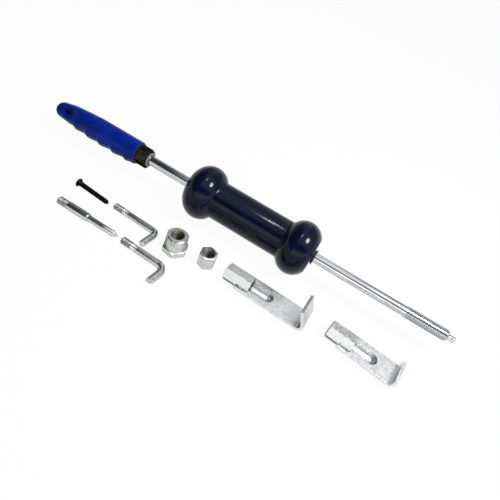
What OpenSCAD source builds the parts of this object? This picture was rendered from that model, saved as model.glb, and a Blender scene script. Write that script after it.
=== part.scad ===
// Slide hammer puller with its screw-on attachments laid out beside it.
// The origin is on the rod's axis at the shoulder where the working thread starts.
// +X runs along the rod towards its working tip, +Z is up, and all lengths are in millimetres.

/* [Rod] */
// Diameter of the plain rod that the weight slides on
rod_d = 11; // [10:0.1:12]
// Length of rod left bare between the collar and the working thread
rod_free_l = 328; // [300:1:360]
// Length of rod held inside the handle
rod_held_l = 88; // [70:1:92]
// Outside diameter of the working thread
thread_d = 12.7; // [12.4:0.1:14]
// Length of the working thread
thread_l = 46.5; // [40:0.5:60]
// Distance from one turn of the working thread to the next
thread_pitch = 1.95; // [1.5:0.05:2.5]
// Diameter of the plain nose in front of the thread
nose_d = 6.4; // [5:0.1:8]
// Length of the plain nose
nose_l = 8.6; // [6:0.1:12]

/* [Handle] */
// Length of the moulded grip
grip_l = 117.5; // [112:0.5:130]
// Diameter of the grip at its mouth
grip_d = 27.2; // [26:0.2:32]
// Diameter of the grip near its free end
grip_end_d = 22.6; // [21:0.2:25]
// Thickness of the flattened free end at its tip
grip_end_t = 12.4; // [11:0.2:13]
// Turn of the grip about the rod, in degrees
grip_roll = 49; // [0:1:90]
// Height of a finger ridge
ridge_h = 1.8; // [1:0.1:2.4]
// Distance from one finger ridge to the next
ridge_pitch = 18.6; // [15:0.1:20]
// Number of finger ridges
ridge_n = 4; // [2:1:4]
// Distance from the mouth to the first ridge's crest
ridge_start = 10.8; // [6:0.1:14]
// Diameter of the hang hole
hang_hole_d = 4.6; // [4:0.1:6]
// Distance from the hang hole to the grip's free end
hang_hole_inset = 19; // [17:0.5:22]
// Outside diameter of the black inner tube
tube_d = 18; // [16:0.2:20]
// Diameter of the inner tube's flange
flange_d = 24.6; // [23:0.2:26]
// Thickness of the inner tube's flange
flange_t = 1.8; // [1.2:0.1:3]
// Width across flats of the collar nut
collar_af = 20.4; // [19:0.2:24]
// Length of the collar nut
collar_l = 13.7; // [10:0.1:18]
// Outside diameter of the pale buffer ring in the collar's face
buffer_d = 17; // [15:0.2:18]
// Thickness of the buffer ring
buffer_t = 3; // [2:0.1:5]
// Distance that the ring stands out of the collar's face
buffer_proud = 0.5; // [0.1:0.1:1.5]

/* [Weight] */
// Length of the sliding weight
weight_l = 156.6; // [140:0.2:170]
// Diameter of the two end bulbs
bulb_d = 63; // [58:0.5:70]
// Radius of a bulb's rounding
bulb_round_r = 19.4; // [17:0.1:20]
// Distance from an end face to the widest part of its bulb
bulb_inset = 18; // [16:0.1:19]
// Diameter of the waist that the hand slides
waist_d = 43.6; // [38:0.2:48]
// Radius of the fillet between the waist and a bulb
neck_fillet_r = 4; // [2:0.1:8]
// Gap from the collar to the resting weight's rear face
weight_rest_gap = 59.1; // [20:0.1:90]
// Outside diameter of the sleeve bushes
bush_d = 15; // [14:0.1:18]
// Length of a sleeve bush inside the weight
bush_l = 22; // [12:0.5:40]
// Diameter of a bush's flange
bush_flange_d = 17.4; // [16:0.1:22]
// Thickness of a bush's flange
bush_flange_t = 1.5; // [1:0.1:3]
// Gap between the weight's end face and a bush's flange
bush_hub_l = 1.3; // [0.5:0.1:3]

/* [Sheet metal screw] */
// Length of the sheet metal screw
screw_l = 42.4; // [36:0.2:50]
// Diameter of its flat head
screw_head_d = 9.8; // [9:0.1:11]
// Outside diameter of its thread
screw_thread_d = 6; // [5.2:0.1:6.6]
// Distance from one turn of its thread to the next
screw_pitch = 2.1; // [1.6:0.1:3]

/* [Draw pin] */
// Length of the draw pin's threaded end
pin_thread_l = 12.7; // [9:0.1:14]
// Outside diameter of the draw pin's thread
pin_thread_d = 8.4; // [7.4:0.1:8.6]
// Length of the draw pin's thick collar
pin_collar_l = 25.5; // [20:0.5:30]
// Diameter of the draw pin's thick collar
pin_collar_d = 8.9; // [8.7:0.1:9.6]
// Length of the draw pin's slim shank with its point
pin_shank_l = 37.8; // [30:0.2:40]
// Diameter of the draw pin's shank
pin_shank_d = 6.4; // [5:0.1:7]

/* [Hooks] */
// Wire diameter of the small hook
small_hook_d = 7; // [5.5:0.1:7.6]
// Length of the small hook's shaft to its corner
small_hook_l = 57; // [50:0.5:60]
// Length of the small hook's leg to its corner
small_hook_leg = 24; // [20:0.5:26]
// Middle radius of the small hook's bend
small_hook_bend_r = 5.5; // [5:0.1:8]
// Wire diameter of the large hook
large_hook_d = 7.6; // [6:0.1:8]
// Length of the large hook's shaft to its corner
large_hook_l = 54.5; // [48:0.5:60]
// Length of the large hook's leg to its corner
large_hook_leg = 24.5; // [20:0.5:28]
// Middle radius of the large hook's bend
large_hook_bend_r = 8.5; // [6:0.1:10]
// Turn of a hook's leg from its shaft, in degrees
hook_turn = 94; // [80:1:110]
// Length of thread on a hook
hook_thread_l = 12; // [8:0.5:16]

/* [Nuts] */
// Diameter of the drilled core of every half inch tapped hole
tapped_d = 10.8; // [10.4:0.1:11.2]
// Diameter of the countersunk mouth of a tapped hole
tapped_mouth_d = 14.4; // [13:0.1:14.8]
// Width across flats of the screw holder's hexagon
holder_af = 24.4; // [23.6:0.1:28]
// Height of the screw holder's hexagon
holder_hex_h = 7.5; // [5:0.1:10]
// Height of the screw holder
holder_h = 23; // [18:0.2:28]
// Diameter of the screw holder's round top
holder_top_d = 22.6; // [20:0.1:23.4]
// Width across flats of the adapter nut
adapter_af = 17.2; // [16.8:0.1:20]
// Height of the adapter nut
adapter_h = 17; // [12:0.1:20]

/* [Claws] */
// Thickness of both claws' straps
strap_t = 3; // [2:0.1:3.2]
// Width across flats of the claws' coupling nuts
claw_nut_af = 17.5; // [17:0.1:18.6]
// Radius of the pressed groove in a strap
groove_r = 7.2; // [6.6:0.1:7.4]
// Width of the tall claw's strap
tall_claw_w = 26.7; // [25.5:0.1:32]
// Length of the tall claw's coupling nut
tall_claw_nut_l = 30.2; // [26:0.2:34]
// Distance that the tall claw's nut stands out behind its strap
tall_claw_overhang = 15.4; // [8:0.2:20]
// Distance from the tall claw's nut to the end of its groove
tall_claw_groove_l = 26; // [16:0.5:34]
// Distance from the rear of the tall claw's nut to its bend
tall_claw_l = 89; // [82:0.5:92]
// Inside radius of the tall claw's bend
tall_claw_bend_r = 4; // [3:0.1:6]
// Turn of the tall claw's lip, in degrees
tall_claw_turn = 112; // [90:1:115]
// Length of the tall claw's lip past its bend
tall_claw_lip_l = 18.9; // [14:0.1:26]
// Height of the tall claw's nut axis above the middle of its strap
tall_claw_rise = 1.5; // [0:0.1:3]
// Width of the short claw's strap
short_claw_w = 27.7; // [25.5:0.1:32]
// Length of the short claw's coupling nut
short_claw_nut_l = 28.8; // [24:0.2:32]
// Distance that the short claw's nut stands out behind its strap
short_claw_overhang = 14.5; // [8:0.5:18]
// Distance from the short claw's nut to the end of its groove
short_claw_groove_l = 27; // [16:0.5:30]
// Distance from the rear of the short claw's nut to its bend
short_claw_l = 72.6; // [68:0.2:80]
// Inside radius of the short claw's bend
short_claw_bend_r = 3; // [2.5:0.1:5]
// Turn of the short claw's lip, in degrees
short_claw_turn = 90; // [80:1:100]
// Length of the short claw's lip past its bend
short_claw_lip_l = 6.2; // [4:0.1:12]
// Height of the short claw's nut axis above the middle of its strap
short_claw_rise = 1.2; // [0:0.1:3]

/* [Layout] */
// Distance of the screw and the small hook from the rod
near_row_y = 63; // [60:0.5:66]
// Distance of the draw pin and the large hook from the rod
far_row_y = 97; // [94:0.5:100]
// Distance of the screw's head behind the shoulder
screw_x = 373; // [368:1:380]
// Distance of the draw pin's thread behind the shoulder
pin_x = 366.5; // [364:0.5:372]
// Distance of the small hook's thread behind the shoulder
small_hook_x = 322.3; // [320:0.1:324]
// Distance of the large hook's thread behind the shoulder
large_hook_x = 284.6; // [280:0.1:286]
// Distance of the screw holder's axis behind the shoulder
holder_x = 239.6; // [238:0.1:240]
// Distance of the screw holder from the rod
holder_y = 68.4; // [64:0.1:70]
// Distance of the adapter nut's axis behind the shoulder
adapter_x = 204.2; // [202:0.1:206]
// Distance of the adapter nut from the rod
adapter_y = 61.9; // [57:0.1:66]
// Distance of the tall claw's nut behind the shoulder
tall_claw_x = 179.6; // [176:0.1:182]
// Distance of the rear end of the tall claw's nut from the rod
tall_claw_y = 61.8; // [59:0.1:66]
// Distance of the short claw's nut behind the shoulder
short_claw_x = 60.8; // [58:0.1:66]
// Distance of the rear end of the short claw's nut from the rod
short_claw_y = 55.1; // [52:0.1:66]
// Turn of the small pieces on the floor, in degrees
small_turn = -2; // [-4:0.5:2]
// Turn of the tall claw on the floor, in degrees
tall_claw_yaw = -2; // [-8:0.5:2]
// Turn of the short claw on the floor, in degrees
short_claw_yaw = -6.4; // [-8:0.1:2]

/* [Hidden] */
$fn = 96;

// Extra length of every cut past the face it starts from
overrun = 1;
// Radial clearance of a piece that is fixed on another
seat_gap = 0.05;
// Radial clearance of the bushes on the rod
slide_gap = 0.1;
// Radial clearance of the weight on its bushes
spin_gap = 0.05;
// Thickness that a bar or strap loses in its bend
bend_thinning = 0.1;
// Length that the straight parts run into a bend
bend_lap = 0.3;
// Least height of a groove's axis above its strap
groove_lift = 0.5;
// Extra diameter of a hook's thread over its shaft
hook_thread_extra = 0.4;
// Flat left on a thread's crest, as a share of its pitch
crest_share = 0.2;
// Depth of a thread, as a share of its pitch
thread_depth_share = 0.6;
// Chamfer on the ends of the rod and its nose
end_chamfer = 1;
// Chamfer on the small turned pieces
fine_chamfer = 0.6;
// Height that a hexagon's corners lose to its chamfer, as a share of its width
hex_chamfer_share = 0.06;

// The puller's stations along the rod, measured from the shoulder
collar_x = -rod_free_l;
collar_rear_x = collar_x - collar_l;
mouth_x = collar_rear_x - flange_t;
weight_rear_x = collar_x + weight_rest_gap;
weight_front_x = weight_rear_x + weight_l;
floor_z = -bulb_d / 2;
// The tube stops short of the scooped end of the grip
tube_l = rod_held_l - collar_l - flange_t;

// The grip's sizes that follow its ends
grip_taper_start_share = 0.5;
grip_r = grip_d / 2;
grip_taper_x = grip_l * grip_taper_start_share;
mouth_round = 0.6;
scoop_r = 12;
scoop_depth = 2.4;
scoop_l = 6;
// The free end narrows from its shoulder to a small round nose
grip_shoulder_l = 21;
grip_nose_r = 9.5;
// A ridge starts this far below the grip's surface
ridge_root = 0.3;

// A plain round bar along +X that starts at x
module bar(x, l, d) {
    translate([x, 0, 0]) rotate([0, 90, 0]) cylinder(h = l, d = d);
}

// A cone along +X from diameter d1 at x to diameter d2
module taper(x, l, d1, d2) {
    translate([x, 0, 0]) rotate([0, 90, 0]) cylinder(h = l, d1 = d1, d2 = d2);
}

// A bar along +X with two domed ends, whose straight part runs from x for a length l
module capsule(x, l, r) {
    translate([x, 0, 0]) rotate([0, 90, 0]) rotate_extrude() {
        square([r, l]);
        intersection() {
            translate([0, l]) circle(r = r);
            translate([0, l]) square([r, r]);
        }
        intersection() {
            circle(r = r);
            translate([0, -r]) square([r, r]);
        }
    }
}

// Rings with a thread's profile along +X, on a core that they carry
module thread(x, l, d, pitch) {
    turns = floor(l / pitch);
    step = l / turns;
    depth = step * thread_depth_share;
    crest = step * crest_share;
    valley = (step + crest) / 2;
    outline = [for (i = [0:turns - 1]) each [
        [d / 2, i * step],
        [d / 2, i * step + crest],
        [d / 2 - depth, i * step + valley]]];
    translate([x, 0, 0]) rotate([0, 90, 0]) rotate_extrude()
        polygon(concat([[0, 0]], outline, [[d / 2, l], [0, l]]));
}

// A hexagonal bar along +Z with both ends chamfered
module hexagon(af, h, chamfered = true) {
    across = af / cos(30);
    rim = af * hex_chamfer_share;
    intersection() {
        rotate([0, 0, 30]) cylinder(h = h, d = across, $fn = 6);
        if (chamfered) union() {
            cylinder(h = rim, d1 = across - 2 * rim * 2, d2 = across + rim);
            translate([0, 0, rim]) cylinder(h = h - 2 * rim, d = across + rim);
            translate([0, 0, h - rim]) cylinder(h = rim, d1 = across + rim, d2 = across - 2 * rim * 2);
        }
    }
}

// A tapped hole along +Z through a nut of height h, with its two mouths
module tapped_hole(h) {
    mouth = (tapped_mouth_d - tapped_d) / 2;
    translate([0, 0, -overrun]) cylinder(h = h + 2 * overrun, d = tapped_d);
    translate([0, 0, -overrun])
        cylinder(h = mouth + overrun, d1 = tapped_mouth_d + 2 * overrun, d2 = tapped_d);
    translate([0, 0, h - mouth])
        cylinder(h = mouth + overrun, d1 = tapped_d, d2 = tapped_mouth_d + 2 * overrun);
}

// One frustum that stands out of the grip's lower side as a finger ridge
module finger_ridge(i) {
    crest_x = -ridge_start - i * ridge_pitch;
    shrink = (grip_d - grip_end_d) * max(0, -crest_x - grip_taper_x) / (grip_l - grip_taper_x);
    crest_d = grip_d - shrink;
    translate([0, -ridge_h, 0])
        taper(crest_x - ridge_pitch, ridge_pitch,
            crest_d - 2 * ridge_h - 2 * ridge_root - shrink / 2, crest_d);
}

// The outside of the grip before its end is flattened, mouth at zero and end at -grip_l
module grip_body() {
    taper(-mouth_round, mouth_round, grip_d, grip_d - 2 * mouth_round);
    bar(-grip_taper_x, grip_taper_x - mouth_round, grip_d);
    taper(-grip_l + grip_shoulder_l, grip_l - grip_shoulder_l - grip_taper_x, grip_end_d, grip_d);
    taper(-grip_l + grip_nose_r, grip_shoulder_l - grip_nose_r, 2 * grip_nose_r, grip_end_d);
    translate([-grip_l + grip_nose_r, 0, 0]) sphere(r = grip_nose_r);
    for (i = [0:ridge_n - 1]) finger_ridge(i);
}

// The sloping cut that flattens one side of the grip's free end
module end_flat() {
    slope = atan((grip_r - grip_end_t / 2) / (grip_l - grip_taper_x));
    translate([-grip_taper_x, -grip_d, grip_r])
        rotate([0, -slope, 0])
            translate([-grip_l, 0, 0]) cube([grip_l, 2 * grip_d, grip_d]);
}

// The long dish around the hang hole
module end_scoop() {
    surface_z = grip_end_t / 2 + hang_hole_inset * (grip_r - grip_end_t / 2) / (grip_l - grip_taper_x);
    translate([0, 0, surface_z + scoop_r - scoop_depth])
        capsule(-grip_l + hang_hole_inset - scoop_l / 2, scoop_l, scoop_r);
}

module handle_grip() {
    color("royalblue") translate([mouth_x, 0, 0]) rotate([grip_roll, 0, 0]) difference() {
        grip_body();
        end_flat();
        mirror([0, 0, 1]) end_flat();
        end_scoop();
        mirror([0, 0, 1]) end_scoop();
        translate([-grip_l + hang_hole_inset, 0, -grip_d]) cylinder(h = 2 * grip_d, d = hang_hole_d);
        bar(-tube_l - seat_gap, tube_l + seat_gap + overrun, tube_d + 2 * seat_gap);
    }
}

module handle_tube() {
    color("black") difference() {
        union() {
            bar(mouth_x - tube_l, tube_l, tube_d);
            bar(mouth_x, flange_t, flange_d);
        }
        bar(mouth_x - tube_l - overrun, tube_l + flange_t + 2 * overrun, rod_d + 2 * seat_gap);
    }
}

module collar_nut() {
    color("dimgray") translate([collar_rear_x, 0, 0]) rotate([0, 90, 0]) difference() {
        hexagon(collar_af, collar_l);
        translate([0, 0, -overrun]) cylinder(h = collar_l + 2 * overrun, d = rod_d + 2 * seat_gap);
        translate([0, 0, collar_l - buffer_t + buffer_proud])
            cylinder(h = buffer_t + overrun, d = buffer_d + 2 * seat_gap);
    }
}

module buffer_ring() {
    color("whitesmoke") difference() {
        bar(collar_x + buffer_proud - buffer_t, buffer_t, buffer_d);
        bar(collar_x + buffer_proud - buffer_t - overrun, buffer_t + 2 * overrun, rod_d + 2 * seat_gap);
    }
}

module rod() {
    color("lightgray") {
        bar(-rod_free_l - rod_held_l, rod_free_l + rod_held_l, rod_d);
        thread(0, thread_l - end_chamfer, thread_d, thread_pitch);
        taper(thread_l - end_chamfer, end_chamfer, thread_d, thread_d - 2 * end_chamfer);
        bar(thread_l, nose_l - end_chamfer, nose_d);
        taper(thread_l + nose_l - end_chamfer, end_chamfer, nose_d, nose_d - 2 * end_chamfer);
    }
}

// Half of the weight's outline: the radius against the distance from an end face
module weight_outline() {
    centre_r = bulb_d / 2 - bulb_round_r;
    waist_r = waist_d / 2;
    // The fillet's own circle touches both the bulb's circle and the waist
    fillet_y = waist_r + neck_fillet_r;
    reach = sqrt(pow(bulb_round_r + neck_fillet_r, 2) - pow(fillet_y - centre_r, 2));
    fillet_x = bulb_inset + reach;
    bore_r = bush_d / 2 + spin_gap;
    difference() {
        union() {
            translate([centre_r, bulb_inset]) circle(r = bulb_round_r);
            polygon([[0, 0], [centre_r, 0], [centre_r, bulb_inset], [fillet_y, fillet_x], [0, fillet_x]]);
        }
        translate([fillet_y, fillet_x]) circle(r = neck_fillet_r);
        translate([-bulb_d, -bulb_d]) square([2 * bulb_d, bulb_d]);
        translate([bore_r - bulb_d, -bulb_d]) square([bulb_d, 2 * bulb_d]);
    }
    translate([bore_r, overrun]) square([waist_r - bore_r, weight_l / 2 - overrun]);
}

module weight_casting() {
    color("midnightblue") translate([weight_rear_x, 0, 0]) rotate([0, 90, 0]) rotate_extrude() {
        weight_outline();
        translate([0, weight_l]) mirror([0, 1]) weight_outline();
    }
}

// A flanged sleeve with its flange on the far side of the weight's end face, flange towards -X
module sleeve_bush() {
    difference() {
        union() {
            bar(-bush_hub_l, bush_hub_l + bush_l, bush_d);
            bar(-bush_hub_l - bush_flange_t, bush_flange_t, bush_flange_d);
        }
        bar(-bush_hub_l - bush_flange_t - overrun,
            bush_hub_l + bush_flange_t + bush_l + 2 * overrun, rod_d + 2 * slide_gap);
    }
}

module rear_bush() {
    color("black") translate([weight_rear_x, 0, 0]) sleeve_bush();
}

module front_bush() {
    color("black") translate([weight_front_x, 0, 0]) mirror([1, 0, 0]) sleeve_bush();
}

module sheet_metal_screw() {
    rim_t = 0.8;
    cone_l = 2.6;
    screw_point_l = 3;
    core_d = screw_thread_d - 2 * thread_depth_share * screw_pitch / 2;
    body_l = screw_l - rim_t - cone_l - screw_point_l;
    // The screw lies on its head's rim and on the last full turn of its thread
    nod = atan((screw_head_d - screw_thread_d) / 2 / (screw_l - screw_point_l));
    slot_w = 1.3;
    color("black") translate([-screw_x, -near_row_y, floor_z]) rotate([0, 0, small_turn])
        rotate([0, nod, 0]) translate([0, 0, screw_head_d / 2]) difference() {
            union() {
                bar(0, rim_t, screw_head_d);
                taper(rim_t, cone_l, screw_head_d, core_d);
                thread(rim_t + cone_l, body_l, screw_thread_d, screw_pitch);
                taper(screw_l - screw_point_l, screw_point_l, core_d, fine_chamfer);
            }
            for (turn = [0, 90]) rotate([turn, 0, 0])
                translate([-overrun, -slot_w / 2, -screw_head_d / 4])
                    cube([overrun + rim_t + slot_w, slot_w, screw_head_d / 2]);
        }
}

module draw_pin() {
    pin_point_l = 7;
    color("silver") translate([-pin_x, -far_row_y, floor_z + pin_collar_d / 2]) {
        taper(0, fine_chamfer, pin_thread_d - 2 * fine_chamfer, pin_thread_d);
        thread(fine_chamfer, pin_thread_l - fine_chamfer, pin_thread_d, thread_pitch / 2);
        bar(pin_thread_l, pin_collar_l - fine_chamfer, pin_collar_d);
        taper(pin_thread_l + pin_collar_l - fine_chamfer, fine_chamfer,
            pin_collar_d, pin_collar_d - 2 * fine_chamfer);
        bar(pin_thread_l + pin_collar_l, pin_shank_l - pin_point_l, pin_shank_d);
        taper(pin_thread_l + pin_collar_l + pin_shank_l - pin_point_l, pin_point_l,
            pin_shank_d, 2 * fine_chamfer);
    }
}

// A bent bar lying flat: a threaded shaft from the origin along +X, then a leg turned to -Y
module hook(d, shaft_l, leg_l, bend_r) {
    corner = bend_r * tan(hook_turn / 2);
    thick_d = d + hook_thread_extra;
    taper(0, fine_chamfer, thick_d - 2 * fine_chamfer, thick_d);
    thread(fine_chamfer, hook_thread_l - fine_chamfer, thick_d, thread_pitch / 2);
    bar(hook_thread_l, shaft_l - corner - hook_thread_l + bend_lap, d);
    translate([shaft_l - corner, -bend_r, 0]) rotate([0, 0, 90 - hook_turn])
        rotate_extrude(angle = hook_turn) translate([bend_r, 0]) circle(d = d - bend_thinning);
    translate([shaft_l, 0, 0]) rotate([0, 0, -hook_turn])
        bar(corner - bend_lap, leg_l - corner + bend_lap, d);
}

module small_hook() {
    color("silver") translate([-small_hook_x, -near_row_y, floor_z + (small_hook_d + hook_thread_extra) / 2])
        rotate([0, 0, small_turn])
            hook(small_hook_d, small_hook_l, small_hook_leg, small_hook_bend_r);
}

module large_hook() {
    tip_angle = 20;
    color("silver") translate([-large_hook_x, -far_row_y, floor_z + (large_hook_d + hook_thread_extra) / 2])
        rotate([0, 0, small_turn]) difference() {
            hook(large_hook_d, large_hook_l, large_hook_leg, large_hook_bend_r);
            // The leg's tip is cut to a wedge
            translate([large_hook_l, 0, 0]) rotate([0, 0, -hook_turn])
                translate([large_hook_leg, -large_hook_d / 2 - overrun, -large_hook_d])
                    rotate([0, 0, tip_angle]) cube([large_hook_leg, 2 * large_hook_d, 2 * large_hook_d]);
        }
}

module screw_holder_nut() {
    rim = 1.2;
    holder_turn = 20;
    color("silver") translate([-holder_x, -holder_y, floor_z])
        rotate([0, 0, holder_turn]) difference() {
            union() {
                hexagon(holder_af, holder_hex_h);
                cylinder(h = holder_h - rim, d = holder_top_d);
                translate([0, 0, holder_h - rim])
                    cylinder(h = rim, d1 = holder_top_d, d2 = holder_top_d - 2 * rim);
            }
            tapped_hole(holder_h);
        }
}

module adapter_nut() {
    adapter_turn = 12;
    color("silver") translate([-adapter_x, -adapter_y, floor_z])
        rotate([0, 0, adapter_turn]) difference() {
            hexagon(adapter_af, adapter_h);
            tapped_hole(adapter_h);
        }
}

// A hexagonal coupling nut along +X with a flat at its top and bottom
module coupling_nut(l) {
    rotate([0, 90, 0]) difference() {
        hexagon(claw_nut_af, l);
        tapped_hole(l);
    }
}

// The space that a coupling nut takes in its strap's fork
module nut_space(l) {
    rotate([0, 90, 0]) translate([0, 0, -overrun])
        hexagon(claw_nut_af + 2 * seat_gap, l + overrun + seat_gap, false);
}

// The flat of a strap: from its fork to its bend, with the nut's axis at y = 0 and z = 0
module strap_flat(l, w, overhang, rise) {
    translate([overhang, -w / 2, -rise - strap_t / 2]) cube([l - overhang, w, strap_t]);
}

// A strap's outline from the side, with its top at y = 0: the flat, the bend and the lip
module strap_side(l, overhang, bend_r, turn, lip_l) {
    outer_r = bend_r + strap_t;
    reach = 2 * outer_r;
    translate([overhang, -strap_t]) square([l - overhang + bend_lap, strap_t]);
    translate([l, bend_r]) {
        intersection() {
            // The circles start on the side away from the strap
            rotate([0, 0, 180]) difference() {
                circle(r = outer_r - bend_thinning / 2);
                circle(r = bend_r + bend_thinning / 2);
            }
            polygon([[0, 0], [0, -reach], [reach, -reach],
                [reach * sin(turn), -reach * cos(turn)]]);
        }
        rotate([0, 0, turn]) translate([-bend_lap, -outer_r]) square([lip_l + bend_lap, strap_t]);
    }
}

// A claw's strap: a plate with a fork, a pressed groove, a bend and a lip
module strap(l, w, nut_l, overhang, groove_l, bend_r, turn, lip_l, rise) {
    top_z = -rise + strap_t / 2;
    // The groove is pressed down until its underside is level with the nut's lowest flat
    groove_z = max(groove_r + strap_t - claw_nut_af / 2, top_z + groove_lift);
    difference() {
        union() {
            translate([0, w / 2, top_z]) rotate([90, 0, 0]) linear_extrude(height = w)
                strap_side(l, overhang, bend_r, turn, lip_l);
            intersection() {
                translate([0, 0, groove_z])
                    capsule(nut_l - overrun, groove_l - groove_r + overrun, groove_r + strap_t);
                translate([nut_l + 2 * seat_gap, -w / 2, -w + top_z - strap_t / 2]) cube([l - nut_l, w, w]);
            }
        }
        translate([0, 0, groove_z])
            capsule(nut_l - 2 * overrun, groove_l - groove_r + 2 * overrun, groove_r);
        nut_space(nut_l);
    }
}

// Two weld beads in the corners between a nut and its strap
module welds(nut_l, overhang, w, rise) {
    bead_d = 2.8;
    top_z = -rise + strap_t / 2;
    // Half the nut's width where the strap's top meets it
    half_w = claw_nut_af / cos(30) / 2 - abs(top_z) * tan(30);
    for (side = [-1, 1]) difference() {
        translate([0, side * (half_w + seat_gap), top_z])
            bar(overhang + fine_chamfer, nut_l - overhang - 4 * fine_chamfer, bead_d);
        nut_space(nut_l + overrun);
        strap_flat(2 * nut_l, w, overhang - overrun, rise);
    }
}

// The places of the two claws: the rear end of each nut's axis
module at_tall_claw() {
    translate([-tall_claw_x, -tall_claw_y, floor_z + claw_nut_af / 2])
        rotate([0, 0, tall_claw_yaw]) children();
}

module at_short_claw() {
    translate([-short_claw_x, -short_claw_y, floor_z + claw_nut_af / 2])
        rotate([0, 0, short_claw_yaw]) children();
}

module tall_claw_strap() {
    color("lightgray") at_tall_claw()
        strap(tall_claw_l, tall_claw_w, tall_claw_nut_l, tall_claw_overhang, tall_claw_groove_l,
            tall_claw_bend_r, tall_claw_turn, tall_claw_lip_l, tall_claw_rise);
}

module tall_claw_nut() {
    color("silver") at_tall_claw() coupling_nut(tall_claw_nut_l);
}

module tall_claw_welds() {
    color("gray") at_tall_claw()
        welds(tall_claw_nut_l, tall_claw_overhang, tall_claw_w, tall_claw_rise);
}

module short_claw_strap() {
    color("lightgray") at_short_claw()
        strap(short_claw_l, short_claw_w, short_claw_nut_l, short_claw_overhang, short_claw_groove_l,
            short_claw_bend_r, short_claw_turn, short_claw_lip_l, short_claw_rise);
}

module short_claw_nut() {
    color("silver") at_short_claw() coupling_nut(short_claw_nut_l);
}

module short_claw_welds() {
    color("gray") at_short_claw()
        welds(short_claw_nut_l, short_claw_overhang, short_claw_w, short_claw_rise);
}

handle_grip();
handle_tube();
collar_nut();
buffer_ring();
rod();
weight_casting();
rear_bush();
front_bush();
sheet_metal_screw();
draw_pin();
small_hook();
large_hook();
screw_holder_nut();
adapter_nut();
tall_claw_strap();
tall_claw_nut();
tall_claw_welds();
short_claw_strap();
short_claw_nut();
short_claw_welds();
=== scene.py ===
import bpy
import bmesh
import math
from mathutils import Euler, Matrix, Vector


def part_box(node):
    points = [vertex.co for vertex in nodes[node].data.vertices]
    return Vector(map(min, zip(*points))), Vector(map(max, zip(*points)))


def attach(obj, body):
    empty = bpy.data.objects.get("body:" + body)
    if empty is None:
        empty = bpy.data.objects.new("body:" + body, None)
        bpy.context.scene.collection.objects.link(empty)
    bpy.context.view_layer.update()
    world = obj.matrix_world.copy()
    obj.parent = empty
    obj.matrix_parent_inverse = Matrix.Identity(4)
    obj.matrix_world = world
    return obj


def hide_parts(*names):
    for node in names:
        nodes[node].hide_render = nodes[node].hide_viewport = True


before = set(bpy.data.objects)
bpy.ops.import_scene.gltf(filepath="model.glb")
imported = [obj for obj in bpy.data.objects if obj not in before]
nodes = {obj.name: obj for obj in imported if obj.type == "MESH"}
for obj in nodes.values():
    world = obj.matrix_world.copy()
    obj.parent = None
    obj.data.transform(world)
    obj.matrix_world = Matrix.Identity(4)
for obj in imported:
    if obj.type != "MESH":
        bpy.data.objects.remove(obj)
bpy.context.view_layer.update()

# Rod: a plated steel bar, drawn smooth, which the handle holds at the rear and the weight slides on.
# The half inch thread is rolled on its front end, and the nose beyond it is turned slimmer, with an end ring.

# Lengths are written in real millimetres, and MM turns them into metres
MM = 0.001


def linear(hex_code):
    """An sRGB hex colour as the linear RGBA that the sockets take."""
    values = [int(hex_code[i:i + 2], 16) / 255 for i in (1, 3, 5)]
    return tuple(v / 12.92 if v <= 0.04045 else ((v + 0.055) / 1.055) ** 2.4 for v in values) + (1.0,)


def add(tree, kind, inputs=(), stops=(), **settings):
    """Adds a node with its settings, its inputs by order or by name, and the colour stops of a ramp.

    An input is a plain value, a socket, or another node, which is linked by its first output.
    """
    made = tree.nodes.new(kind)
    for key, value in settings.items():
        setattr(made, key, value)
    for key, value in inputs.items() if isinstance(inputs, dict) else enumerate(inputs):
        value = value.outputs[0] if isinstance(value, bpy.types.Node) else value
        if isinstance(value, bpy.types.NodeSocket):
            tree.links.new(value, made.inputs[key])
        else:
            made.inputs[key].default_value = value
    for index, (position, colour) in enumerate(stops):
        elements = made.color_ramp.elements
        element = elements[index] if index < 2 else elements.new(position)
        element.position, element.color = position, linear(colour)
    return made


def new_material(name):
    """A material with an empty node tree."""
    material = bpy.data.materials.new(name)
    material.use_nodes = True
    material.node_tree.nodes.clear()
    return material, material.node_tree


def plated(name, light, dark, gloss, grain, relief, drawn=1.0, rounding=0.3, edge="#3A3C3E"):
    """Plated or blackened steel: two tones in clouds, the gloss varying with them, darker at grazing angles.

    gloss holds the least and the largest roughness. The grain, its relief and the rounding of the edges are
    in millimetres. The clouds are four grains wide, coarser than real crystals of zinc, so that they show. A
    drawn share below 1 stretches them along the bar, as a die leaves them.
    """
    material, tree = new_material(name)
    spot = add(tree, "ShaderNodeTexCoord").outputs["Object"]
    where = add(tree, "ShaderNodeMapping", {"Vector": spot, "Scale": (drawn, 1, 1)})
    clouds = add(tree, "ShaderNodeTexNoise", {"Vector": where, "Scale": 1 / (4 * grain * MM), "Detail": 4.0,
                                              "Roughness": 0.55})
    tone = add(tree, "ShaderNodeValToRGB", {"Fac": clouds}, [(0.3, dark), (0.65, light)])
    sheen = add(tree, "ShaderNodeMapRange", {"Value": clouds, "From Min": 0.3, "From Max": 0.7,
                                             "To Min": gloss[0], "To Max": gloss[1]})
    pits = add(tree, "ShaderNodeTexNoise", {"Vector": where, "Scale": 1 / (grain * MM), "Detail": 3.0,
                                            "Roughness": 0.55})
    rounded = add(tree, "ShaderNodeBevel", {"Radius": rounding * MM}, samples=4)
    pitted = add(tree, "ShaderNodeBump", {"Height": pits, "Distance": relief * MM, "Strength": 1.0,
                                          "Normal": rounded})
    metal = add(tree, "ShaderNodeBsdfPrincipled", {"Base Color": tone, "Metallic": 1.0, "Roughness": sheen,
                                                   "Specular Tint": linear(edge), "Normal": pitted})
    add(tree, "ShaderNodeOutputMaterial", {"Surface": metal})
    return material


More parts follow.
